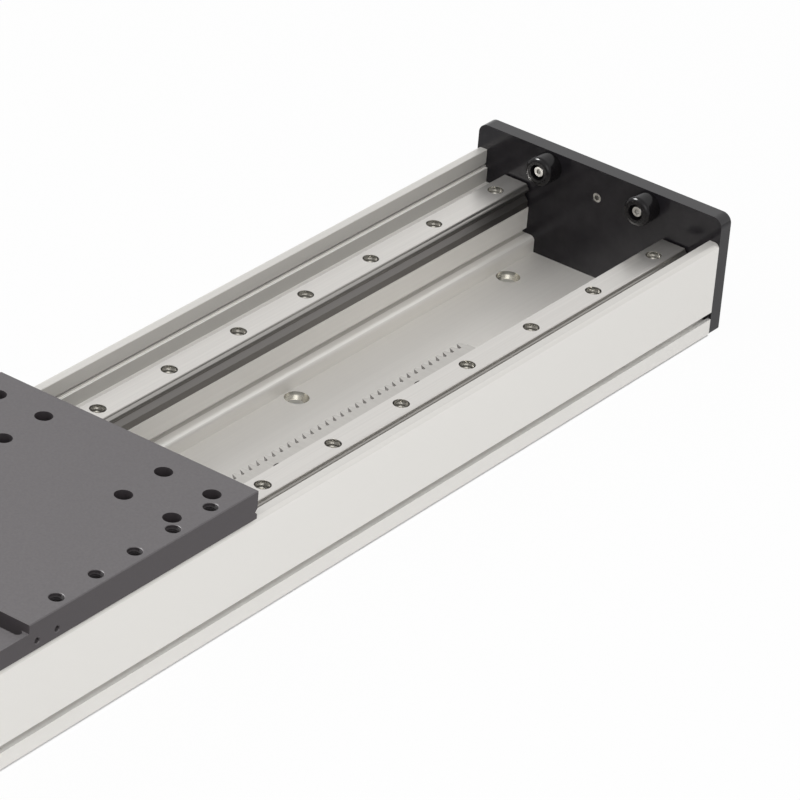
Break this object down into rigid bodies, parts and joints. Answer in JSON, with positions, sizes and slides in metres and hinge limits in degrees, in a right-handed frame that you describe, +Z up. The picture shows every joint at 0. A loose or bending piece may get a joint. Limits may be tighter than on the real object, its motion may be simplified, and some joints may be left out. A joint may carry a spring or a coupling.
{
  "type": "linear rail module",
  "caption": "Open linear rail module: trough profile with two guide rails, helical rack, end plates with buffers, and a long carriage plate on guide blocks with a drive pinion.",
  "frame": {"origin": "on the underside of the profile, below the middle of the module", "axes": "+X along the rails towards the end plate farthest from the carriage, +Y across, towards the rail that has no rack beside it, +Z up"},
  "size_m": [0.963, 0.175, 0.0865],
  "materials": {
    "anodised_aluminium": "clear anodised, satin",
    "ground_steel": "ground and polished",
    "black_screw_steel": "black oxide",
    "plated_screw_steel": "zinc plated",
    "black_anodised_plate": "black anodised, glossy",
    "grey_anodised_plate": "dark anodised, matt",
    "black_rubber": "moulded",
    "black_nylon": "moulded",
    "seal_rubber": "moulded",
    "bearing_steel": "ground"
  },
  "bodies": {
    "base": {"base_profile": "anodised_aluminium", "guide_rail_near": "ground_steel", "guide_rail_far": "ground_steel", "rail_screws_near": "plated_screw_steel", "rail_screws_far": "plated_screw_steel", "gear_rack": "ground_steel", "rack_screws": "plated_screw_steel", "end_plate_right": "black_anodised_plate", "end_plate_screws_right": "black_screw_steel", "bumper_near_right": "black_rubber", "bumper_far_right": "black_rubber", "bumper_screws_right": "plated_screw_steel", "plug_screw_right": "plated_screw_steel", "end_plate_left": "black_anodised_plate", "end_plate_screws_left": "black_screw_steel", "bumper_near_left": "black_rubber", "bumper_far_left": "black_rubber", "bumper_screws_left": "plated_screw_steel", "plug_screw_left": "plated_screw_steel"},
    "carriage": {"carriage_plate": "grey_anodised_plate", "block_body_near_right": "ground_steel", "block_end_caps_near_right": "black_nylon", "block_seals_near_right": "seal_rubber", "grease_nipple_near_right": "plated_screw_steel", "block_screws_near_right": "black_screw_steel", "block_body_far_right": "ground_steel", "block_end_caps_far_right": "black_nylon", "block_seals_far_right": "seal_rubber", "grease_nipple_far_right": "plated_screw_steel", "block_screws_far_right": "black_screw_steel", "block_body_near_left": "ground_steel", "block_end_caps_near_left": "black_nylon", "block_seals_near_left": "seal_rubber", "grease_nipple_near_left": "plated_screw_steel", "block_screws_near_left": "black_screw_steel", "block_body_far_left": "ground_steel", "block_end_caps_far_left": "black_nylon", "block_seals_far_left": "seal_rubber", "grease_nipple_far_left": "plated_screw_steel", "block_screws_far_left": "black_screw_steel", "drive_housing": "grey_anodised_plate", "housing_screws": "black_screw_steel", "lower_bearing_outer_ring": "bearing_steel", "upper_bearing_outer_ring": "bearing_steel", "outer_spacer": "bearing_steel", "housing_circlip": "plated_screw_steel"},
    "drive": {"drive_pinion": "bearing_steel", "pinion_shaft": "bearing_steel", "pinion_key": "bearing_steel", "pinion_washer": "plated_screw_steel", "pinion_screw": "plated_screw_steel", "lower_bearing_inner_ring": "bearing_steel", "upper_bearing_inner_ring": "bearing_steel", "inner_spacer": "bearing_steel", "shaft_circlip": "plated_screw_steel"}
  },
  "joints": [
    {"name": "carriage_slide", "type": "slide", "parent": "base", "child": "carriage", "axis": [1, 0, 0], "range_m": [-0.0445, 0.4135]},
    {"name": "pinion_spin", "type": "hinge", "parent": "carriage", "child": "drive", "pos_m": [-0.1845, 0.00203, 0], "axis": [0, 0, 1], "range_deg": [-900, 100]}
  ],
  "couplings": [
    {"joint": "pinion_spin", "follows": "carriage_slide", "rad_per_m": -37.699}
  ]
}
